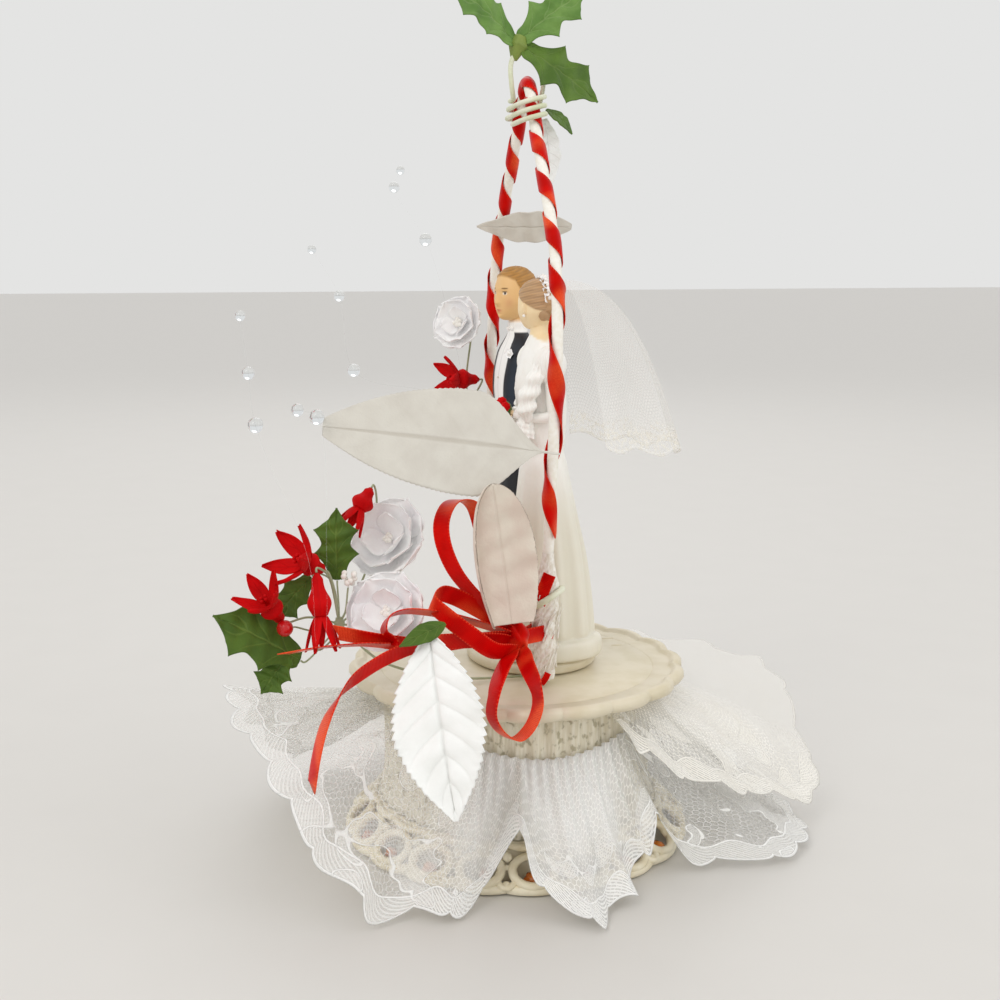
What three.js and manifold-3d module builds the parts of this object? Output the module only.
import * as THREE from 'three';
import { mergeVertices } from 'three/addons/utils/BufferGeometryUtils.js';
import Module from 'manifold-3d';

const wasm = await Module();
wasm.setup();

// Wedding cake topper, millimetres, +Z up. The couple looks along -X.
// The origin is the middle of the base underside.

// Driving sizes
const clearance = 0.3;

const baseRadius = 52;
const baseHeight = 12;
const floorThickness = 2;
const scallopCount = 20;
const scallopDepth = 0.035;

const riserRadius = 38;
const riserHeight = 44.7;

const plateRadius = 50;
const plateThickness = 3.5;
const plateRimRise = 1.2;

const standCentre = [6, 5.5];
const standReach = [19, 23];
const standHeight = 3.3;

const brideSpot = [5, -6.5];
const brideHeight = 108.5;
const groomSpot = [5.5, 20.5];
const groomHeight = 113;

const archCentreY = 5.5;
const archFootX = 1.2;
const archTopX = 4.3;
const archFootHalf = 28.5;
const archShoulderHalf = 36;
const archBendHalf = 3.9;
const archHeight = 167.5;
const rodRadius = 1.5;

const ribbonWidth = 4.8;
const ribbonThickness = 0.45;
const ribbonTopPitch = 10;
const ribbonFootPitch = 40;

const wrapCordRadius = 0.85;
const wrapPitch = 3;
const wrapLoops = 9;

const wireRadius = 0.7;
const stemRadius = 0.6;
const filamentRadius = 0.3;
const dewRadius = 1.7;

const leafThickness = 0.6;
const petalThickness = 0.6;
const clothThickness = 0.6;

// Levels, each seated on the one below
const floorTop = floorThickness;
const riserBottom = floorTop + clearance;
const riserTop = riserBottom + riserHeight;
const plateBottom = riserTop + clearance;
const deck = plateBottom + plateThickness;
const rimTop = deck + plateRimRise;
const standBottom = deck + clearance;
const standTop = standBottom + standHeight;
const figureFoot = standTop + clearance;
const archFoot = deck + clearance + 0.25;
const archTop = archFoot + archHeight;
const wrapOuter = rodRadius + clearance * 2 + wrapCordRadius * 2;
const bandInner = rodRadius + clearance;
const bandOuter = bandInner * 1.12 + ribbonThickness;

// Colours with roughness and metalness
const finishes = {
  ivory: [0xded4ba, 0.45, 0],
  foam: [0xf2f0ea, 0.9, 0],
  amber: [0xa8641c, 0.3, 0],
  lace: [0xf5f5f3, 0.85, 0],
  sheer: [0xf2f2f0, 0.8, 0],
  gown: [0xf4f1ea, 0.4, 0],
  tuxedo: [0x0c0f16, 0.4, 0],
  satinRed: [0xc80c0c, 0.35, 0],
  flowerRed: [0xbe0810, 0.7, 0],
  holly: [0x466e23, 0.6, 0],
  hollyPale: [0x6b9448, 0.6, 0],
  whiteLeaf: [0xe1ded7, 0.75, 0],
  blushLeaf: [0xd9cac4, 0.75, 0],
  blossom: [0xf1eff0, 0.7, 0],
  paper: [0xf0ece2, 0.7, 0],
  wire: [0xc8cda5, 0.5, 0],
  stem: [0x33461f, 0.6, 0],
  dew: [0xe8eef0, 0.08, 0],
  pearl: [0xf3efe6, 0.25, 0],
};

const model = new THREE.Group();
model.name = 'wedding_cake_topper';

function vec(x, y, z) {
  return new THREE.Vector3(x, y, z);
}

function lerp(a, b, t) {
  return a + (b - a) * t;
}

// Welded copy of a shape without its flat triangles
function weld(geometry) {
  const bare = new THREE.BufferGeometry();
  bare.setAttribute('position', geometry.getAttribute('position').clone());
  if (geometry.index) {
    bare.setIndex(geometry.index.clone());
  }
  const merged = mergeVertices(bare, 1e-3);
  const corners = merged.index.array;
  const kept = [];
  for (let i = 0; i < corners.length; i += 3) {
    const [a, b, c] = [corners[i], corners[i + 1], corners[i + 2]];
    if (a !== b && b !== c && c !== a) {
      kept.push(a, b, c);
    }
  }
  merged.setIndex(kept);
  return merged;
}

function toSolid(geometry) {
  const welded = weld(geometry);
  const solid = new wasm.Manifold(new wasm.Mesh({
    numProp: 3,
    vertProperties: new Float32Array(welded.getAttribute('position').array),
    triVerts: new Uint32Array(welded.index.array),
  }));
  return solid;
}

function toGeometry(solid) {
  const mesh = solid.getMesh();
  const geometry = new THREE.BufferGeometry();
  geometry.setAttribute('position', new THREE.BufferAttribute(new Float32Array(mesh.vertProperties), 3));
  geometry.setIndex(Array.from(mesh.triVerts));
  return geometry;
}

function fuse(geometries) {
  let whole = toSolid(geometries[0]);
  for (const geometry of geometries.slice(1)) {
    whole = whole.add(toSolid(geometry));
  }
  return toGeometry(whole);
}

function cut(geometry, tools) {
  let whole = toSolid(geometry);
  for (const tool of tools) {
    whole = whole.subtract(toSolid(tool));
  }
  return toGeometry(whole);
}

function place(name, geometry, finish) {
  const [colour, roughness, metalness] = finishes[finish];
  const welded = weld(geometry);
  welded.computeVertexNormals();
  const material = new THREE.MeshStandardMaterial({ color: colour, roughness, metalness });
  const mesh = new THREE.Mesh(welded, material);
  mesh.name = name;
  model.add(mesh);
  return mesh;
}

function shapeFrom(points, corners) {
  const geometry = new THREE.BufferGeometry();
  const values = points.flatMap((p) => [p.x, p.y, p.z]);
  geometry.setAttribute('position', new THREE.Float32BufferAttribute(values, 3));
  geometry.setIndex(corners);
  return geometry;
}

// Closed skin through rings of equal count, with a middle point closing each end
function loft(rings, capped = true) {
  const count = rings[0].length;
  const points = rings.flat();
  const corners = [];
  for (let row = 0; row + 1 < rings.length; row += 1) {
    for (let i = 0; i < count; i += 1) {
      const a = row * count + i;
      const b = row * count + ((i + 1) % count);
      corners.push(a, b, b + count, a, b + count, a + count);
    }
  }
  if (capped) {
    const last = rings.length - 1;
    const ends = [0, last].map((row) => {
      const middle = vec(0, 0, 0);
      rings[row].forEach((p) => middle.addScaledVector(p, 1 / count));
      points.push(middle);
      return points.length - 1;
    });
    for (let i = 0; i < count; i += 1) {
      const next = (i + 1) % count;
      corners.push(ends[0], next, i);
      corners.push(ends[1], last * count + i, last * count + next);
    }
  }
  return shapeFrom(points, corners);
}

// Round body from rows of [height, middle x, middle y, reach x, reach y]
function roundBody(rows, sides, ripple = () => 1) {
  const rings = rows.map(([z, cx, cy, rx, ry], row) => {
    const ring = [];
    for (let i = 0; i < sides; i += 1) {
      const angle = (2 * Math.PI * i) / sides;
      const swell = ripple(angle, row / (rows.length - 1));
      ring.push(vec(cx + rx * swell * Math.cos(angle), cy + ry * swell * Math.sin(angle), z));
    }
    return ring;
  });
  return loft(rings);
}

function ball(centre, reach, sides = 10, rows = 6) {
  const list = [];
  for (let row = 0; row <= rows; row += 1) {
    const angle = Math.PI * (row / rows);
    const wide = Math.max(Math.sin(angle), 0.12);
    list.push([centre.z - reach.z * Math.cos(angle), centre.x, centre.y, reach.x * wide, reach.y * wide]);
  }
  return roundBody(list, sides);
}

// Turned profile of [radius, height] pairs that starts and ends on the axis
function turned(profile, sides, swell = () => 1) {
  const points = [];
  const corners = [];
  const rows = profile.map(([radius, z]) => {
    const start = points.length;
    if (radius === 0) {
      points.push(vec(0, 0, z));
      return [start, 1];
    }
    for (let i = 0; i < sides; i += 1) {
      const angle = (2 * Math.PI * i) / sides;
      const reach = radius * swell(angle, radius);
      points.push(vec(reach * Math.cos(angle), reach * Math.sin(angle), z));
    }
    return [start, sides];
  });
  for (let row = 0; row + 1 < rows.length; row += 1) {
    const [a, countA] = rows[row];
    const [b, countB] = rows[row + 1];
    for (let i = 0; i < sides; i += 1) {
      const next = (i + 1) % sides;
      if (countA === 1) {
        corners.push(a, b + next, b + i);
      } else if (countB === 1) {
        corners.push(a + i, a + next, b);
      } else {
        corners.push(a + i, a + next, b + next, a + i, b + next, b + i);
      }
    }
  }
  return shapeFrom(points, corners);
}

// Ring of closed section: profile is a closed list of [radius, height]
function turnedRing(profile, sides, swell = () => 1) {
  const count = profile.length;
  const points = [];
  const corners = [];
  for (let i = 0; i < sides; i += 1) {
    const angle = (2 * Math.PI * i) / sides;
    for (const [radius, z] of profile) {
      const reach = radius * swell(angle, radius);
      points.push(vec(reach * Math.cos(angle), reach * Math.sin(angle), z));
    }
  }
  for (let i = 0; i < sides; i += 1) {
    const a = i * count;
    const b = ((i + 1) % sides) * count;
    for (let k = 0; k < count; k += 1) {
      const next = (k + 1) % count;
      corners.push(a + k, b + k, b + next, a + k, b + next, a + next);
    }
  }
  return shapeFrom(points, corners);
}

// Thin sheet with thickness: pointAt(u, v) is the middle surface, u and v run 0 to 1
function sheet(pointAt, columns, rows, thickness, ringed = false) {
  const across = ringed ? columns : columns + 1;
  const step = 0.002;
  const sides = [[], []];
  for (let j = 0; j <= rows; j += 1) {
    for (let i = 0; i < across; i += 1) {
      const u = i / columns;
      const v = j / rows;
      const middle = pointAt(u, v);
      const alongU = pointAt(u + step, v).sub(pointAt(u - step, v));
      const alongV = pointAt(u, Math.min(v + step, 1)).sub(pointAt(u, Math.max(v - step, 0)));
      const normal = alongU.cross(alongV).normalize();
      sides[0].push(middle.clone().addScaledVector(normal, thickness / 2));
      sides[1].push(middle.clone().addScaledVector(normal, -thickness / 2));
    }
  }
  const total = sides[0].length;
  const corners = [];
  const at = (i, j) => j * across + (ringed ? i % columns : i);
  for (let j = 0; j < rows; j += 1) {
    for (let i = 0; i < columns; i += 1) {
      const [a, b, c, d] = [at(i, j), at(i + 1, j), at(i + 1, j + 1), at(i, j + 1)];
      corners.push(a, b, c, a, c, d);
      corners.push(total + a, total + c, total + b, total + a, total + d, total + c);
    }
  }
  const wall = (a, b) => corners.push(a, total + a, total + b, a, total + b, b);
  for (let i = 0; i < columns; i += 1) {
    wall(at(i, 0), at(i + 1, 0));
    wall(at(i + 1, rows), at(i, rows));
  }
  if (!ringed) {
    for (let j = 0; j < rows; j += 1) {
      wall(at(0, j + 1), at(0, j));
      wall(at(columns, j), at(columns, j + 1));
    }
  }
  return shapeFrom([...sides[0], ...sides[1]], corners);
}

function curveThrough(points) {
  return new THREE.CatmullRomCurve3(points, false, 'centripetal');
}

// Round wire along a curve
function tube(curve, radius, sides, steps) {
  const outline = [];
  for (let i = 0; i < sides; i += 1) {
    const angle = (2 * Math.PI * i) / sides;
    outline.push(new THREE.Vector2(radius * Math.cos(angle), radius * Math.sin(angle)));
  }
  const section = new THREE.Shape(outline);
  return new THREE.ExtrudeGeometry(section, { extrudePath: curve, steps, bevelEnabled: false });
}

// Flat ribbon along a curve: the width lies across the path, turned towards widthAt(t)
function strip(curve, width, thickness, steps, widthAt) {
  const rings = [];
  for (let i = 0; i <= steps; i += 1) {
    const t = i / steps;
    const middle = curve.getPointAt(t);
    const along = curve.getTangentAt(t);
    const across = widthAt(t);
    across.addScaledVector(along, -across.dot(along)).normalize();
    const out = along.clone().cross(across);
    rings.push([[1, 1], [-1, 1], [-1, -1], [1, -1]].map(([a, b]) => middle.clone()
      .addScaledVector(across, (a * width) / 2)
      .addScaledVector(out, (b * thickness) / 2)));
  }
  return loft(rings);
}

// Frame at a point with its local X along a direction and local Z near a normal
function frameAt(origin, along, normal) {
  const x = along.clone().normalize();
  const y = normal.clone().cross(x).normalize();
  const z = x.clone().cross(y);
  return new THREE.Matrix4().makeBasis(x, y, z).setPosition(origin);
}

const leafOutlines = {
  holly: (t) => {
    const body = Math.sin(Math.PI * lerp(0.02, 0.99, t)) ** 0.5;
    return body * (1 - 0.3 * Math.abs(Math.sin(3 * Math.PI * t)));
  },
  ovate: (t) => {
    const taper = Math.max(0, (t - 0.36) / 0.64) ** 2.2;
    return THREE.MathUtils.smoothstep(t, -0.02, 0.36) * (1 - 0.84 * taper);
  },
  smooth: (t) => Math.sin(Math.PI * lerp(0.03, 0.985, t) ** 0.85),
  blunt: (t) => Math.sin(Math.PI * lerp(0.2, 0.98, t)) ** 0.7,
  cupped: (t) => Math.sin(Math.PI * lerp(0.06, 0.97, t) ** 1.05) ** 0.8,
};

// Leaf from its base point to its tip, bent along its length and folded along its midrib
function leaf({ base, tip, half, normal, outline, bend, fold, rows = 12 }) {
  const along = tip.clone().sub(base);
  const length = along.length();
  const frame = frameAt(base, along, normal);
  const pointAt = (u, v) => {
    const side = 2 * u - 1;
    const t = Math.min(Math.max(v, 0), 1);
    const wide = Math.max(half * leafOutlines[outline](t), 0.45);
    const lift = bend * Math.sin(Math.PI * t) + fold * wide * side * side;
    return vec(length * t, wide * side, lift).applyMatrix4(frame);
  };
  return sheet(pointAt, 2, rows, leafThickness);
}

// Open flower facing along an axis: petals on a cupped disc with a short tube behind it
function flower({ centre, axis, radius, petals, notch, point, cup, tubeLength, tubeRadius, sides = 4 }) {
  const helper = Math.abs(axis.z) > 0.8 ? vec(1, 0, 0) : vec(0, 0, 1);
  const frame = frameAt(centre, helper.clone().cross(axis), axis);
  const count = petals * sides;
  const reachAt = (angle) => {
    const wave = Math.abs(Math.cos((petals * angle) / 2)) ** point;
    return radius * lerp(1 - notch, 1, wave);
  };
  const ringAt = (share, lift) => {
    const ring = [];
    for (let i = 0; i < count; i += 1) {
      const angle = (2 * Math.PI * i) / count;
      const reach = reachAt(angle) * share;
      const rise = cup * radius * (reach / radius) ** 2;
      ring.push(vec(reach * Math.cos(angle), reach * Math.sin(angle), rise + lift).applyMatrix4(frame));
    }
    return ring;
  };
  const back = -petalThickness;
  const disc = loft([
    ringAt(0.12, back),
    ringAt(0.55, back),
    ringAt(1, back * 0.6),
    ringAt(1, 0),
    ringAt(0.55, 0),
    ringAt(0.12, 0),
  ]);
  const start = vec(0, 0, -tubeLength).applyMatrix4(frame);
  const end = vec(0, 0, 0.4).applyMatrix4(frame);
  const neck = tube(new THREE.LineCurve3(start, end), tubeRadius, 5, 1);
  return { geometry: fuse([disc, neck]), root: start, axis: axis.clone().normalize() };
}

// Scalloped outline that fades away towards the middle
function scallop(angle, radius, outer) {
  const weight = THREE.MathUtils.smoothstep(radius, outer * 0.8, outer);
  const wave = Math.abs(Math.sin((scallopCount * angle) / 2)) ** 0.8;
  return 1 - scallopDepth * weight * (1 - wave);
}

// Pierced base: floor, collar and sloping skirt with a loop under every scallop
const collarInner = riserRadius + clearance + 0.8;
const collarOuter = collarInner + 2;
const skirtSides = scallopCount * 3;
const baseProfile = [
  [0, 0],
  [collarOuter, 0],
  [collarOuter + 1.2, baseHeight - 4],
  [baseRadius - 2.4, 0],
  [baseRadius - 0.4, 0],
  [baseRadius, 2.4],
  [collarOuter + 0.6, baseHeight],
  [collarInner, baseHeight - 0.8],
  [collarInner, floorTop],
  [0, floorTop],
];
const skirt = turned(baseProfile, skirtSides, (angle, radius) => scallop(angle, radius, baseRadius));
const loopTools = [];
for (let i = 0; i < scallopCount; i += 1) {
  const angle = (2 * Math.PI * (i + 0.5)) / scallopCount;
  const reach = baseRadius - 5.2;
  const middle = vec(reach * Math.cos(angle), reach * Math.sin(angle), 5.2);
  const out = vec(Math.cos(angle) * 0.62, Math.sin(angle) * 0.62, 0.78);
  const under = middle.clone().addScaledVector(out, -3.6);
  const over = middle.clone().addScaledVector(out, 4.5);
  loopTools.push(tube(new THREE.LineCurve3(under, over), 2.8, 4, 1));
}
place('filigree_base', cut(skirt, loopTools), 'ivory');

const glueInner = riserRadius + clearance;
const glueTop = floorTop + clearance + 3;
place('glue_ring', turnedRing([
  [glueInner, floorTop + clearance],
  [collarInner - clearance * 0.5, floorTop + clearance],
  [collarInner - clearance * 0.5, glueTop - 1],
  [glueInner, glueTop],
], 30), 'amber');

place('foam_riser', turned([
  [0, riserBottom],
  [riserRadius, riserBottom],
  [riserRadius, riserTop],
  [0, riserTop],
], 30), 'foam');

place('top_plate', turned([
  [0, plateBottom],
  [plateRadius - 4, plateBottom],
  [plateRadius, plateBottom + 1.6],
  [plateRadius - 0.6, rimTop - 0.4],
  [plateRadius - 2, rimTop],
  [plateRadius - 3.6, deck],
  [0, deck],
], skirtSides, (angle, radius) => scallop(angle, radius, plateRadius)), 'ivory');

// Gathered lace heading round the riser, just under the plate
const headingInner = riserRadius + clearance;
const headingOuter = headingInner + 1.6;
const headingTop = plateBottom - clearance - 0.2;
const headingBottom = baseHeight + clearance;
const headingPleats = 20;
place('lace_heading', turnedRing([
  [headingInner, headingBottom],
  [headingOuter, headingBottom],
  [headingOuter, headingTop],
  [headingInner, headingTop],
], headingPleats * 2, (angle, radius) => (
  radius > headingInner + 0.1 ? 1 + 0.02 * Math.cos(headingPleats * angle) : 1
)), 'lace');

// Smooth value from rows of [turn in degrees, reach, height], round the whole circle or end to end
function alongRows(rows, turn, column, closed) {
  const count = rows.length;
  let k = 0;
  while (k + (closed ? 1 : 2) < count && rows[k + 1][0] <= turn) {
    k += 1;
  }
  const pick = (i) => (closed ? ((i % count) + count) % count : Math.min(Math.max(i, 0), count - 1));
  const start = rows[k][0];
  const end = k + 1 < count ? rows[k + 1][0] : rows[0][0] + 360;
  const t = (turn - start) / (end - start);
  const [a, b, c, d] = [k - 1, k, k + 1, k + 2].map((i) => rows[pick(i)][column]);
  const t2 = t * t;
  const t3 = t2 * t;
  const ends = (2 * t3 - 3 * t2 + 1) * b + (3 * t2 - 2 * t3) * c;
  return ends + ((t3 - 2 * t2 + t) * (c - a)) / 2 + ((t3 - t2) * (d - b)) / 2;
}

// Lace ruffle: hem waves as [turn in degrees, reach past the base edge, height of the hem]
const hemWaves = [
  [0, 32, 1.5],
  [22, 30, 10],
  [45, 38, 1.5],
  [68, 24, 12],
  [92, 30, 1.5],
  [115, 22, 14],
  [138, 30, 6],
  [158, 30, 26],
  [174, 33, 47],
  [187, 35, 46],
  [204, 33, 36],
  [217, 35, 21],
  [228, 27, 3],
  [238, 17, 1.5],
  [247, 8, 4],
  [256, 5, 19],
  [270, 20.5, 1.5],
  [283, 12, 3],
  [295, 4, 9],
  [307, 8, 16],
  [320, 30, 2],
  [341, 28, 6],
];
const ruffleInner = headingOuter * 1.02 + clearance + clothThickness / 2;
const ruffleTop = headingTop - 3.5;
function rufflePoint(u, v) {
  const turn = (((u % 1) + 1) % 1) * 360;
  const angle = (turn * Math.PI) / 180;
  const reach = baseRadius + alongRows(hemWaves, turn, 1, true);
  const hem = Math.max(alongRows(hemWaves, turn, 2, true), 1) + clothThickness;
  const out = lerp(ruffleInner, reach, v ** 1.15);
  const fall = v ** lerp(0.75, 1.4, THREE.MathUtils.smoothstep(hem, 10, 44));
  return vec(out * Math.cos(angle), out * Math.sin(angle), lerp(ruffleTop, hem, fall));
}
place('lace_ruffle', sheet(rufflePoint, 66, 5, clothThickness, true), 'lace');

// Sheer overlay on the lace behind the couple, lifted beside a deep fold
const overlayWaves = [
  [-62, -3, 44.5],
  [-46, 1, 38.5],
  [-32, 6, 31],
  [-15, 23, 15.5],
  [-4, 45, 3],
  [4, 44, 21],
  [12, 43, 41],
  [34, 36, 43],
  [62, 20, 41],
];
const overlayTop = headingTop - 1.2;
function overlayPoint(u, v) {
  const turn = lerp(overlayWaves[0][0], overlayWaves.at(-1)[0], Math.min(Math.max(u, 0), 1));
  const angle = (turn * Math.PI) / 180;
  const reach = baseRadius + alongRows(overlayWaves, turn, 1, false);
  const out = lerp(ruffleInner, reach, v);
  const hem = alongRows(overlayWaves, turn, 2, false);
  return vec(out * Math.cos(angle), out * Math.sin(angle), lerp(overlayTop, hem, v ** 1.15));
}
place('tulle_overlay', sheet(overlayPoint, 20, 3, clothThickness), 'sheer');

// Oval stand under the couple
const [standX, standY] = standCentre;
const [standReachX, standReachY] = standReach;
place('couple_stand', roundBody([
  [standBottom, standX, standY, standReachX, standReachY],
  [standBottom + standHeight * 0.7, standX, standY, standReachX, standReachY],
  [standTop, standX, standY, standReachX - 1.2, standReachY - 1.2],
], 24), 'ivory');

// Arch centre line: half width as a function of height, apart from the bend on top
function archX(z) {
  return lerp(archFootX, archTopX, (z - archFoot) / archHeight);
}
const archHalfRows = [
  [archFootHalf, 0],
  [lerp(archFootHalf, archShoulderHalf, 0.42), 0.2],
  [lerp(archFootHalf, archShoulderHalf, 0.87), 0.44],
  [archShoulderHalf, 0.59],
  [archShoulderHalf * 0.875, 0.72],
  [archShoulderHalf * 0.61, 0.815],
  [archShoulderHalf * 0.265, 0.925],
  [archBendHalf, 0.98],
];
const archSpots = archHalfRows.map(([half, share]) => {
  const z = archFoot + archHeight * share;
  return vec(archX(z), archCentreY - half, z);
});
const archMirror = archSpots.map((p) => vec(p.x, 2 * archCentreY - p.y, p.z)).reverse();
const archCurve = curveThrough([...archSpots, vec(archTopX, archCentreY, archTop), ...archMirror]);
archCurve.arcLengthDivisions = 800;
const archLength = archCurve.getLength();

// Point of one leg at a height: side -1 is the near leg, 1 the far leg
function legPoint(side, z) {
  let low = 0;
  let high = 0.5;
  for (let i = 0; i < 40; i += 1) {
    const middle = (low + high) / 2;
    if (archCurve.getPointAt(middle).z < z) {
      low = middle;
    } else {
      high = middle;
    }
  }
  const point = archCurve.getPointAt(low);
  return side < 0 ? point : vec(point.x, 2 * archCentreY - point.y, point.z);
}
place('arch_rod', tube(archCurve, rodRadius, 6, 48), 'paper');

// Red ribbon wound on the rod as one band, wider apart towards the feet
const stepsPerLoop = 7;
const bandStart = (wrapLoops * wrapPitch + 10) / archLength;
const bandRings = [];
const bandEdges = [];
let bandShare = bandStart;
let bandAngle = 0;
while (bandShare < 1 - bandStart * 0.4) {
  const nearFoot = Math.abs(2 * bandShare - 1);
  const pitch = lerp(ribbonTopPitch, ribbonFootPitch, nearFoot ** 1.2);
  const girth = 2 * Math.PI * bandInner;
  const axial = ribbonWidth / (girth / Math.hypot(girth, pitch));
  const halfShare = axial / 2 / archLength;
  const slack = bandInner / Math.cos(Math.PI / stepsPerLoop);
  const rows = [1, 0, -1].map((side) => {
    const share = Math.min(Math.max(bandShare + side * halfShare, 0.001), 0.999);
    const middle = archCurve.getPointAt(share);
    const along = archCurve.getTangentAt(share);
    const first = vec(1, 0, 0).addScaledVector(along, -along.x).normalize();
    const second = along.clone().cross(first);
    const out = first.multiplyScalar(Math.cos(bandAngle)).addScaledVector(second, Math.sin(bandAngle));
    return [middle.clone().addScaledVector(out, slack), middle.addScaledVector(out, slack + ribbonThickness)];
  });
  const inner = rows.map(([near]) => near);
  const outer = rows.map(([, far]) => far).reverse();
  bandRings.push([...inner, ...outer]);
  bandEdges.push([inner[2], inner[0]]);
  bandShare += pitch / stepsPerLoop / archLength;
  bandAngle -= (2 * Math.PI) / stepsPerLoop;
}
place('arch_red_ribbon', loft(bandRings), 'satinRed');
let bandGap = Infinity;
for (let i = 0; i + stepsPerLoop < bandEdges.length; i += 1) {
  bandGap = Math.min(bandGap, bandEdges[i][1].distanceTo(bandEdges[i + stepsPerLoop][0]));
}
const bandLoops = bandRings.length / stepsPerLoop;
console.log(`ribbon winding: ${bandLoops.toFixed(1)} loops, least gap ${bandGap.toFixed(2)} mm`);

// White cord wound round the foot of the near leg
const wrapSteps = 10;
const wrapPoints = [];
const wrapReach = rodRadius + clearance * 2 + wrapCordRadius;
for (let i = 0; i <= wrapLoops * wrapSteps; i += 1) {
  const angle = (2 * Math.PI * i) / wrapSteps;
  const z = archFoot + wrapCordRadius + clearance + (wrapPitch * i) / wrapSteps;
  const middle = legPoint(-1, z);
  wrapPoints.push(vec(middle.x + wrapReach * Math.cos(angle), middle.y + wrapReach * Math.sin(angle), z));
}
const wrapCurve = new THREE.CatmullRomCurve3(wrapPoints, false, 'centripetal');
wrapCurve.arcLengthDivisions = 1200;
place('foot_wrap', tube(wrapCurve, wrapCordRadius, 4, wrapLoops * wrapSteps), 'paper');
let wrapGap = Infinity;
for (let i = 0; i + wrapSteps < wrapPoints.length; i += 1) {
  wrapGap = Math.min(wrapGap, wrapPoints[i].distanceTo(wrapPoints[i + wrapSteps]) - 2 * wrapCordRadius);
}
console.log(`foot wrap: ${wrapLoops} loops, least gap ${wrapGap.toFixed(2)} mm`);

// Wire ring hung over the foot wrap
const ringCentre = legPoint(-1, archFoot + 23);
const ringReach = wrapOuter + clearance + 0.8;
const ringCurve = new THREE.CatmullRomCurve3(Array.from({ length: 16 }, (_, i) => {
  const angle = (2 * Math.PI * i) / 16;
  return vec(
    ringCentre.x + ringReach * Math.cos(angle),
    ringCentre.y + ringReach * 1.05 * Math.sin(angle),
    ringCentre.z + 2.2 * Math.cos(angle + 0.6),
  );
}), true, 'centripetal');
const ringRings = [];
const ringSteps = 16;
for (let i = 0; i < ringSteps; i += 1) {
  const middle = ringCurve.getPointAt(i / ringSteps);
  const along = ringCurve.getTangentAt(i / ringSteps);
  const up = vec(0, 0, 1).addScaledVector(along, -along.z).normalize();
  const out = along.clone().cross(up);
  ringRings.push([0, 1, 2, 3, 4].map((k) => {
    const angle = (2 * Math.PI * k) / 5;
    const [rise, spread] = [0.6 * Math.cos(angle), 0.6 * Math.sin(angle)];
    return middle.clone().addScaledVector(up, rise).addScaledVector(out, spread);
  }));
}
ringRings.push(ringRings[0]);
place('tie_ring', loft(ringRings, false), 'paper');

// Pale wire wound round both legs under the bend, with a stem up to the holly
const tieTurns = 3;
const tieSteps = 14;
const tiePitch = 2.4;
const tieBottom = archTop - 10.5;
const tiePoints = [];
for (let i = 0; i <= tieTurns * tieSteps; i += 1) {
  const angle = Math.PI + (2 * Math.PI * i) / tieSteps;
  const z = tieBottom + (tiePitch * i) / tieSteps;
  const half = archCentreY - legPoint(-1, z).y;
  const reachX = bandOuter + clearance + wireRadius + 0.75;
  const reachY = half + bandOuter + clearance + wireRadius + 1.0;
  const [c, s] = [Math.cos(angle), Math.sin(angle)];
  const round = (Math.abs(c) ** 3 + Math.abs(s) ** 3) ** (-1 / 3);
  tiePoints.push(vec(archX(z) + reachX * c * round, archCentreY + reachY * s * round, z));
}
const calyx = vec(archTopX - 2.6, archCentreY, archTop + 10.5);
const stemLean = tiePoints.at(-1);
const tieCurve = new THREE.CatmullRomCurve3([
  ...tiePoints,
  vec(stemLean.x - 0.9, archCentreY - 1.6, archTop - 0.5),
  vec(calyx.x - 2.4, archCentreY - 0.8, archTop + 5),
  calyx,
], false, 'centripetal');
tieCurve.arcLengthDivisions = 800;
place('apex_tie_wire', tube(tieCurve, wireRadius, 4, tieTurns * tieSteps + 9), 'wire');
let tieGap = Infinity;
for (let i = 0; i + tieSteps < tiePoints.length; i += 1) {
  tieGap = Math.min(tieGap, tiePoints[i].distanceTo(tiePoints[i + tieSteps]) - 2 * wireRadius);
}
console.log(`apex wire: ${tieTurns} loops, least gap ${tieGap.toFixed(2)} mm`);

// Holly over the apex, each leaf starting beside the end of the wire
function offset(point, x, y, z) {
  return vec(point.x + x, point.y + y, point.z + z);
}
const bud = wireRadius + clearance;
place('holly_leaf_top_1', leaf({
  base: offset(calyx, -bud - 0.3, -0.6, 0.4),
  tip: offset(calyx, -21, -3.5, 15),
  half: 7.4,
  normal: vec(0.25, -0.85, 0.45),
  outline: 'holly',
  bend: 1.6,
  fold: 0.03,
}), 'hollyPale');
place('holly_leaf_top_2', leaf({
  base: offset(calyx, 0.5, 0.3, bud + 0.3),
  tip: offset(calyx, 19.5, -1.5, 15),
  half: 8,
  normal: vec(-0.3, -0.8, 0.5),
  outline: 'holly',
  bend: 1.4,
  fold: 0.03,
}), 'hollyPale');
place('holly_leaf_top_3', leaf({
  base: offset(calyx, bud + 0.3, -0.8, -0.8),
  tip: offset(calyx, 22.5, -3.5, -15.5),
  half: 8.4,
  normal: vec(0.2, -0.9, 0.35),
  outline: 'holly',
  bend: 1.2,
  fold: 0.03,
}), 'holly');
const tieSide = archX(tieBottom) + bandOuter + clearance + wireRadius * 2 + 0.75;
place('holly_leaf_top_4', leaf({
  base: vec(tieSide + clearance + 0.35, archCentreY - 1, tieBottom + 3.4),
  tip: vec(tieSide + 7.6, archCentreY - 3.5, tieBottom - 3.5),
  half: 2.8,
  normal: vec(0.5, -0.7, 0.5),
  outline: 'smooth',
  bend: 1,
  fold: 0.05,
  rows: 9,
}), 'hollyPale');
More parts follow.
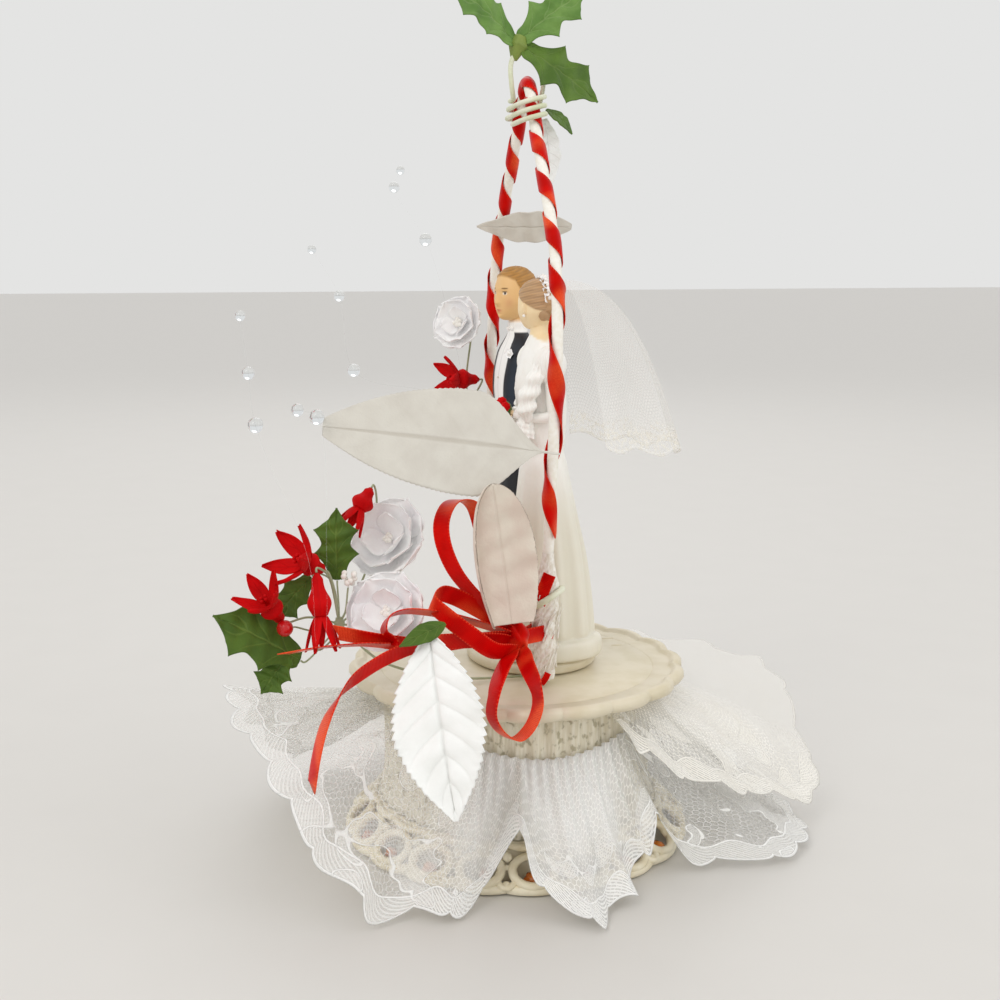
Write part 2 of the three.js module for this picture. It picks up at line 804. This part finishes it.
place('white_leaf_apex', leaf({
  base: vec(tieSide + clearance + 0.35, archCentreY + 1.5, tieBottom + 1),
  tip: vec(tieSide + 3.5, archCentreY + 5, tieBottom - 17),
  half: 4.2,
  normal: vec(0.3, -0.95, 0),
  outline: 'cupped',
  bend: 0.8,
  fold: 0.04,
}), 'whiteLeaf');

// White leaf lying across the far leg
const farLeafLeg = legPoint(1, archFoot + archHeight * 0.775);
const farLeafOut = bandOuter + clearance + leafThickness / 2 + 0.25;
place('white_leaf_far', leaf({
  base: offset(farLeafLeg, 21.5, -farLeafOut * 0.86, -farLeafOut * 0.51),
  tip: offset(farLeafLeg, -8.5, -farLeafOut * 0.86, -farLeafOut * 0.51),
  half: 5.4,
  normal: vec(0, -0.86, -0.51),
  outline: 'smooth',
  bend: 0.2,
  fold: 0.01,
}), 'whiteLeaf');

// Large white leaf tied to the near leg, pointing forwards
const nearLeafLeg = legPoint(-1, archFoot + archHeight * 0.395);
place('white_leaf_near', leaf({
  base: offset(nearLeafLeg, 0.8, -bandOuter - clearance - 0.9, 0.6),
  tip: offset(nearLeafLeg, -63.5, -8, 10.5),
  half: 14.2,
  normal: vec(-0.1, -0.95, 0.22),
  outline: 'ovate',
  bend: 2.2,
  fold: 0.012,
  rows: 12,
}), 'whiteLeaf');

// Red satin bow in front of the near foot: strap, loops, tails and knot in one ribbon
const knotLeg = legPoint(-1, archFoot + 17.5);
const knot = offset(knotLeg, -9.6, -6.8, -1.2);
const strapLeg = legPoint(-1, knot.z - 0.5);
const strapTurn = Math.atan2(knot.y - strapLeg.y, knot.x - strapLeg.x);
const strapBack = wrapOuter + clearance + 1;
const strapCurve = new THREE.CatmullRomCurve3([
  offset(knot, 0, 0, -0.5),
  ...Array.from({ length: 9 }, (_, i) => {
    const angle = strapTurn + Math.PI * lerp(0.36, 1.64, i / 8);
    return offset(strapLeg, strapBack * Math.cos(angle), strapBack * Math.sin(angle), 0);
  }),
  offset(knot, 0.6, 0.4, -0.5),
], false, 'centripetal');
const bowStrips = [
  {
    spots: [
      [-1.6, 0.5, 1.7], [-11.6, -1.5, 11.8], [-18.2, -2.5, 20.2], [-21.4, -2.5, 28.5], [-21.4, -1.5, 33.7],
      [-18.6, 1.5, 37.7], [-14.1, 5.5, 37.9], [-10.3, 8.5, 35.3], [-7.8, 9.5, 28.3], [-4.6, 7.5, 14.3],
      [-0.7, 1.5, 1.4],
    ],
    widths: [[0.75, -0.65, 0.1], [0.75, -0.65, 0.1]],
  },
  {
    spots: [
      [-0.7, 0.5, 1.6], [-9.2, 0.5, 7.3], [-18.2, -2.5, 13], [-22.9, -5.5, 14.8], [-25.5, -8.5, 13.3],
      [-22.9, -11.5, 10.6], [-16.2, -11.5, 4.8], [-8.4, -7.5, -1.3], [-1.2, -2.5, -2.8],
    ],
    widths: [[0.3, -0.25, 0.92], [0.3, -0.25, 0.92]],
  },
  {
    spots: [
      [-1.2, -1.5, -2.9], [-7.2, -11.5, -5.2], [-11.4, -19.5, -9], [-12.7, -21.5, -14.8], [-10, -22.5, -19.3],
      [-6.3, -22.5, -21], [-2.8, -22.5, -18.3], [-0.3, -21.5, -12.8], [-0.3, -19.5, -8.3],
      [-0.6, -11.5, -4.6], [0.5, -1.5, -2.5],
    ],
    widths: [[0.5, -0.8, 0.1], [0.5, -0.8, 0.1]],
  },
  {
    spots: [
      [-1.2, -0.5, -0.9], [-15.3, -7.5, 2], [-27.2, -12.5, 3.6], [-31.8, -14.5, 3.4], [-41.7, -18.5, 1],
      [-50.2, -22.5, -3.2], [-54.8, -25.5, -8.1], [-57.3, -27, -12.9], [-59.4, -28.5, -20],
      [-60.6, -29.5, -26],
    ],
    widths: [[0.1, -0.35, 0.9], [0.9, -0.3, 0.3]],
  },
  {
    spots: [
      [-1.2, -0.5, 0.8], [-14.8, -3.6, 6.4], [-26.5, -9.5, 10.9], [-34.2, -11, 12], [-37.7, -11.5, 10.8],
      [-38.8, -11.5, 7.4], [-36.2, -11, 3.6], [-45.2, -10, 3.7], [-55.3, -8, 3], [-64.4, -5.5, 1.3],
    ],
    widths: [[0.2, -0.7, 0.7], [0.1, -0.5, 0.85]],
  },
  {
    spots: [[-1, 0, 0], [-14.8, -5.5, 1.4], [-26.4, -8.5, 1.6], [-38.1, -10, 4], [-50.6, -6.5, 6.3]],
    widths: [[0.1, -0.4, 0.9], [0.1, -0.5, 0.85]],
  },
];
const bowWidth = ribbonWidth * 0.97;
const bowThickness = ribbonThickness * 1.3;
const bowBodies = [ball(knot, vec(3, 3.3, 4.4), 8, 5)];
for (const { spots, widths } of bowStrips) {
  const path = curveThrough(spots.map(([x, y, z]) => offset(knot, x, y, z)));
  const [first, last] = widths.map((width) => vec(...width));
  const steps = Math.round(spots.length * 1.15);
  const widthAt = (t) => first.clone().lerp(last, t);
  bowBodies.push(strip(path, bowWidth, bowThickness, steps, widthAt));
}
bowBodies.push(strip(strapCurve, bowWidth, bowThickness, 12, () => vec(0, 0, 1)));
place('red_bow', fuse(bowBodies), 'satinRed');

// Leaves tucked into the bow
place('white_leaf_upright', leaf({
  base: offset(knot, -3.6, -6.6, 5.6),
  tip: offset(knot, -10.2, -12.6, 45),
  half: 8.9,
  normal: vec(-0.2, -0.96, -0.15),
  outline: 'blunt',
  bend: -2,
  fold: 0.035,
  rows: 10,
}), 'blushLeaf');
place('white_leaf_hanging', leaf({
  base: offset(knot, -28, -16.3, 6.4),
  tip: offset(knot, -25, -33.5, -37.4),
  half: 12.2,
  normal: vec(-0.12, -0.9, 0.4),
  outline: 'smooth',
  bend: 2,
  fold: 0.012,
  rows: 10,
}), 'whiteLeaf');
place('green_leaf_bow', leaf({
  base: offset(knot, -23.4, -14.4, 9),
  tip: offset(knot, -36.4, -19.6, 5.2),
  half: 3.2,
  normal: vec(-0.1, -0.8, 0.6),
  outline: 'smooth',
  bend: 0.6,
  fold: 0.02,
  rows: 8,
}), 'holly');

// Bride: gown, head with rolled hair, sleeves, forearms and cuffs, rows as [height, shift, reach x, reach y]
function figureRows(rows, spot, scale) {
  return rows.map(([z, cx, rx, ry]) => [figureFoot + z * scale, spot[0] + cx, spot[1], rx, ry]);
}
function limb(spot, scale, spots, radius) {
  const path = curveThrough(spots.map(([x, y, z]) => vec(spot[0] + x, spot[1] + y, figureFoot + z * scale)));
  return tube(path, radius, 5, 4);
}
function figureBall(spot, scale, [x, y, z], reach, sides, rows) {
  return ball(vec(spot[0] + x, spot[1] + y, figureFoot + z * scale), vec(...reach), sides, rows);
}
const brideDrawn = 108.5;
const brideScale = brideHeight / brideDrawn;
const brideBodies = [
  roundBody(figureRows([
    [0, 3.4, 15.2, 10.4],
    [5, 3, 14.4, 10.3],
    [20, 1.8, 11.4, 9.6],
    [40, 0.6, 8.2, 8.5],
    [56, 0, 5.8, 6.7],
    [62, 0, 4.9, 5.6],
    [70, -0.4, 5.6, 6.6],
    [77, -0.9, 6.3, 7.4],
    [82, -0.3, 5.4, 7.8],
    [87, 0, 3.2, 5.2],
    [89.5, 0, 2.1, 2.3],
    [95, -0.4, 2.1, 2.2],
  ], brideSpot, brideScale), 14),
  figureBall(brideSpot, brideScale, [-0.6, 0, 100.8], [6.2, 5.3, 7.7], 10, 6),
  figureBall(brideSpot, brideScale, [4.4, 0, 101.5], [4, 4.2, 4.4], 8, 5),
];
for (const side of [-1, 1]) {
  brideBodies.push(figureBall(brideSpot, brideScale, [0.4, side * 8.2, 80.5], [4.4, 4, 4.8], 7, 4));
  brideBodies.push(limb(brideSpot, brideScale, [
    [0.4, side * 8.6, 78],
    [1.2, side * 8.9, 71.5],
    [-4, side * 6, 71],
    [-8, side * 2.6, 72],
  ], 1.6));
  brideBodies.push(figureBall(brideSpot, brideScale, [-5.6, side * 5, 69.4], [2.2, 1.6, 3.6], 6, 4));
}
place('bride_figure', fuse(brideBodies), 'gown');

const bouquetCentre = vec(brideSpot[0] - 10.5, brideSpot[1], figureFoot + 73 * brideScale);
const bouquetBodies = [ball(bouquetCentre, vec(2.6, 3.6, 2.8), 6, 4)];
for (let i = 0; i < 4; i += 1) {
  const angle = (2 * Math.PI * i) / 4;
  const bloom = offset(bouquetCentre, -0.7, 3.2 * Math.cos(angle), 2.6 * Math.sin(angle));
  bouquetBodies.push(ball(bloom, vec(1.7, 1.7, 1.7), 5, 3));
}
place('bride_bouquet', fuse(bouquetBodies), 'flowerRed');

// Floral headpiece as a crescent of small blooms behind the crown of the head
const crownCentre = vec(brideSpot[0] + 2, brideSpot[1], figureFoot + 103 * brideScale);
const headpieceBodies = [];
const headpieceBlooms = 9;
for (let i = 0; i < headpieceBlooms; i += 1) {
  const angle = Math.PI * lerp(0.1, 0.9, i / (headpieceBlooms - 1));
  const bloom = offset(crownCentre, 1, 6.7 * Math.cos(angle), 6.9 * Math.sin(angle) - 0.5);
  headpieceBodies.push(ball(bloom, vec(1.4, 1.9, 1.9), 5, 3));
}
place('bride_headpiece', fuse(headpieceBodies), 'blossom');

// Veil: part of a puffed cone standing out behind the head, with soft folds
const veilTop = offset(crownCentre, 2.75, 0, 6);
const veilReach = 38.5;
const veilDrop = 49 * brideScale;
function veilPoint(u, v) {
  const side = 2 * u - 1;
  const angle = side * 1.7;
  const grow = v ** 0.85;
  const swell = lerp(2.4, veilReach * 0.71, grow) + 1.2 * v * Math.cos(7 * Math.PI * u);
  const back = veilReach * 0.29 * grow + swell * Math.cos(angle);
  const drop = (veilDrop - 11 * side ** 4) * v ** 1.5;
  return vec(veilTop.x + back, veilTop.y + swell * 0.62 * Math.sin(angle), veilTop.z - drop);
}
place('bride_veil', sheet(veilPoint, 14, 5, clothThickness), 'sheer');

// Groom: trousers, tailcoat, head and arms
const groomDrawn = 113;
const groomScale = groomHeight / groomDrawn;
const groomBodies = [
  roundBody(figureRows([
    [1.2, 0.6, 4.4, 7.2],
    [20, 0.6, 4.2, 7.4],
    [35, 0.4, 4.8, 8],
    [36.5, 0.4, 6.2, 9],
    [50, 0.2, 6, 8.8],
    [62, 0, 5.5, 8],
    [78, -0.3, 6.7, 9.6],
    [87, 0.2, 5.7, 10],
    [92, 0.3, 3.4, 6],
    [95, 0.2, 2.6, 2.9],
    [99, -0.2, 2.6, 2.8],
  ], groomSpot, groomScale), 12),
  figureBall(groomSpot, groomScale, [-0.5, 0, 104.8], [6.9, 5.8, 8.2], 10, 6),
];
for (const side of [-1, 1]) {
  groomBodies.push(figureBall(groomSpot, groomScale, [-2.2, side * 3.8, 2], [6.6, 2.7, 2], 8, 4));
  groomBodies.push(limb(groomSpot, groomScale, [
    [0.2, side * 8.6, 87],
    [1, side * 9.6, 76],
    [1.6, side * 9.4, 66],
    [-3.5, side * 7.6, 58.5],
    [-8, side * 4.4, 59.5],
  ], 2.3));
}
place('groom_figure', fuse(groomBodies), 'tuxedo');

// Front spray: one branching wire along the plate, blooms and leaves at its ends
const sprayRoot = vec(knotLeg.x - 4, knotLeg.y + 7.5, deck + stemRadius + clearance);
const sprayHub = offset(knot, -47.9, 8.7, 4.6);
const sprayTrunk = curveThrough([
  sprayRoot,
  offset(sprayRoot, -19.5, 0, 1),
  offset(sprayRoot, -41.5, -2.6, 8.2),
  sprayHub,
]);
const sprayBodies = [tube(sprayTrunk, stemRadius * 1.2, 6, 8)];
function branch(from, root, axis, start = sprayHub) {
  const end = root.clone().addScaledVector(axis, -clearance);
  const before = end.clone().addScaledVector(axis, -3);
  const path = curveThrough([start, from, before, end]);
  return tube(path, stemRadius, 4, 4);
}
function redFlower(name, centre, axis, radius, tubeLength, cup = 0.55) {
  const bloom = flower({
    centre,
    axis: axis.normalize(),
    radius,
    petals: 5,
    notch: 0.66,
    point: 1.6,
    cup,
    tubeLength,
    tubeRadius: 0.95,
    sides: 2,
  });
  place(name, bloom.geometry, 'flowerRed');
  return bloom;
}
const redSpots = [
  {
    name: 'red_flower_front_1',
    at: [-10.2, -1, 17.4],
    axis: [-0.8, -0.35, 0.45],
    radius: 9,
    tubeLength: 6,
    from: [-1, 0, 9],
  },
  {
    name: 'red_flower_front_2',
    at: [-21.5, -7, 8.6],
    axis: [-0.65, -0.5, 0.57],
    radius: 7.6,
    tubeLength: 8,
    from: [-9, -4, 3.4],
  },
  {
    name: 'red_flower_front_3',
    at: [-6.6, -11, 8],
    axis: [0.05, -0.15, -0.98],
    radius: 4.6,
    tubeLength: 8,
    from: [-3.5, -5.5, 15],
    cup: 1.9,
  },
  {
    name: 'red_flower_mid',
    at: [7.2, 12.5, 29.5],
    axis: [-0.55, -0.3, -0.78],
    radius: 7.4,
    tubeLength: 6,
    from: [6, 11, 14],
  },
];
for (const { name, at, axis, radius, tubeLength, from, cup } of redSpots) {
  const bloom = redFlower(name, offset(sprayHub, ...at), vec(...axis), radius, tubeLength, cup);
  sprayBodies.push(branch(offset(sprayHub, ...from), bloom.root, bloom.axis));
}
function whiteBlossom(name, centre, axis, radius, tubeLength) {
  const bloom = flower({
    centre,
    axis: axis.normalize(),
    radius,
    petals: 5,
    notch: 0.26,
    point: 0.6,
    cup: 0.5,
    tubeLength,
    tubeRadius: 1.1,
    sides: 3,
  });
  place(name, bloom.geometry, 'blossom');
  return bloom;
}
const whiteSpots = [
  {
    name: 'white_flower_front_1',
    at: [18.5, 17, 18],
    axis: [-0.6, -0.6, 0.5],
    radius: 12.5,
    tubeLength: 5,
    from: [9, 8, 3.5],
  },
  {
    name: 'white_flower_front_2',
    at: [13.2, -5, 3],
    axis: [-0.45, -0.75, 0.4],
    radius: 11.5,
    tubeLength: 4,
    from: [7, -1, -1],
  },
];
for (const { name, at, axis, radius, tubeLength, from } of whiteSpots) {
  const bloom = whiteBlossom(name, offset(sprayHub, ...at), vec(...axis), radius, tubeLength);
  sprayBodies.push(branch(offset(sprayHub, ...from), bloom.root, bloom.axis));
}
const hollySpots = [
  {
    name: 'holly_leaf_front_1',
    base: [-11.4, -5, -8],
    tip: [-33.8, -5, 5.7],
    half: 9.4,
    normal: [-0.1, -0.75, 0.65],
    from: [-4, -2, -4],
  },
  {
    name: 'holly_leaf_front_2',
    base: [0.4, 5.5, 11],
    tip: [0.8, 7, 30.7],
    half: 6.8,
    normal: [-0.3, -0.95, 0.1],
    from: [0.4, 3.6, 5],
  },
  {
    name: 'holly_leaf_front_3',
    base: [-6.8, 4, 12.5],
    tip: [-17, 4.5, 1.4],
    half: 5.4,
    normal: [-0.2, -0.9, 0.4],
    from: [-2, 3, 12],
  },
];
for (const { name, base, tip, half, normal, from } of hollySpots) {
  const start = offset(sprayHub, ...base);
  const end = offset(sprayHub, ...tip);
  place(name, leaf({
    base: start,
    tip: end,
    half,
    normal: vec(...normal),
    outline: 'holly',
    bend: 1.4,
    fold: 0.03,
  }), 'holly');
  sprayBodies.push(branch(offset(sprayHub, ...from), start, end.clone().sub(start).normalize()));
}
const berry = offset(sprayHub, -15.5, -8.5, 2);
const berryRadius = 2.2;
place('holly_berry', ball(berry, vec(berryRadius, berryRadius, berryRadius), 7, 5), 'flowerRed');
const berryAxis = vec(-0.8, -0.55, 0.1).normalize();
const berryFoot = berry.clone().addScaledVector(berryAxis, -berryRadius);
sprayBodies.push(branch(offset(sprayHub, -7, -4, -0.5), berryFoot, berryAxis));
const stamenRoot = offset(sprayHub, 2.6, -1.8, 12.2);
const stamenBodies = [ball(stamenRoot, vec(1.3, 1.3, 1.8), 5, 4)];
for (let i = 0; i < 4; i += 1) {
  const angle = (2 * Math.PI * i) / 4;
  const rise = 1.2 + 0.9 * Math.sin(angle + 0.8);
  const end = offset(stamenRoot, 1.2 * Math.cos(angle) - 0.4, 0.9 * Math.sin(angle) - 0.5, rise);
  stamenBodies.push(ball(end, vec(1.2, 1.2, 1.2), 5, 3));
}
place('stamen_pearls', fuse(stamenBodies), 'pearl');
const stamenAxis = vec(0.1, -0.2, 0.95).normalize();
const stamenFoot = stamenRoot.clone().addScaledVector(stamenAxis, -1.8);
sprayBodies.push(branch(offset(sprayHub, 1.4, -1, 3), stamenFoot, stamenAxis));

// Clear drops threaded on a bent filament
function dewSpray(name, start, via, drops) {
  const path = curveThrough([start, ...via, ...drops]);
  const bodies = [tube(path, filamentRadius, 3, 3 * (via.length + drops.length))];
  drops.forEach((drop) => bodies.push(ball(drop, vec(dewRadius, dewRadius, dewRadius), 6, 3)));
  place(name, fuse(bodies), 'dew');
}
const dewAxis = vec(-0.5, -0.8, 0.3).normalize();
const dewFoot = offset(sprayHub, -7, -10, -4);
sprayBodies.push(branch(offset(sprayHub, -2.5, -4, -3), dewFoot, dewAxis));
dewSpray('dew_spray_near_1', dewFoot, [
  offset(sprayHub, -8.6, -18, 1),
  offset(sprayHub, -10, -19, 22),
], [
  offset(sprayHub, -22.2, -17, 57),
  offset(sprayHub, -23.6, -17, 70),
  offset(sprayHub, -25, -15, 84),
]);
dewSpray('dew_spray_near_2', offset(dewFoot, 1, -0.4, -0.4), [
  offset(sprayHub, -6, -18.2, 1),
  offset(sprayHub, -5.4, -19, 24),
], [
  offset(sprayHub, -6.8, -16.5, 58.5),
  offset(sprayHub, -11.7, -17, 60.5),
]);

// Far spray on the far leg: a wire, a white bloom, a red bloom and drops
const farLeg = legPoint(1, archFoot + archHeight * 0.44);
const farRoot = offset(farLeg, -bandOuter - clearance - stemRadius - 0.4, 0, -6);
const farHub = offset(farRoot, -4.5, -2, 6);
const farTrunk = curveThrough([farRoot, offset(farRoot, -1, -0.6, 3), farHub]);
const farBodies = [tube(farTrunk, stemRadius * 1.2, 6, 5)];
const farWhiteSpot = offset(farHub, -2.6, -3, 24.5);
const farWhite = whiteBlossom('white_flower_far', farWhiteSpot, vec(-0.65, -0.7, 0.3), 8.6, 5);
farBodies.push(branch(offset(farHub, -0.5, -0.2, 8), farWhite.root, farWhite.axis, farHub));
const farRedSpot = offset(farHub, -4.6, -6.3, 8);
const farRed = redFlower('red_flower_far', farRedSpot, vec(-0.97, -0.2, 0.05), 7.6, 7);
farBodies.push(branch(offset(farHub, 2, -2.4, 3.2), farRed.root, farRed.axis, farHub));
place('far_spray_stem', fuse(farBodies), 'stem');
const farDewFoot = offset(farHub, 0, stemRadius * 1.2 + clearance + filamentRadius + 0.25, 0.4);
dewSpray('dew_spray_far_1', farDewFoot, [offset(farHub, -14, 3, 4)], [
  offset(farHub, -38, -13, 12),
  offset(farHub, -42, -13.5, 34),
  offset(farHub, -50, -16, 47.5),
]);
dewSpray('dew_spray_far_2', offset(farDewFoot, 0, 0, 2), [offset(farHub, -6, 6, 32)], [
  offset(farHub, -14, -4, 50.5),
  offset(farHub, -23.5, -4, 66),
  offset(farHub, -21.5, -4, 71),
]);
place('spray_stem', fuse(sprayBodies), 'stem');

export default model;
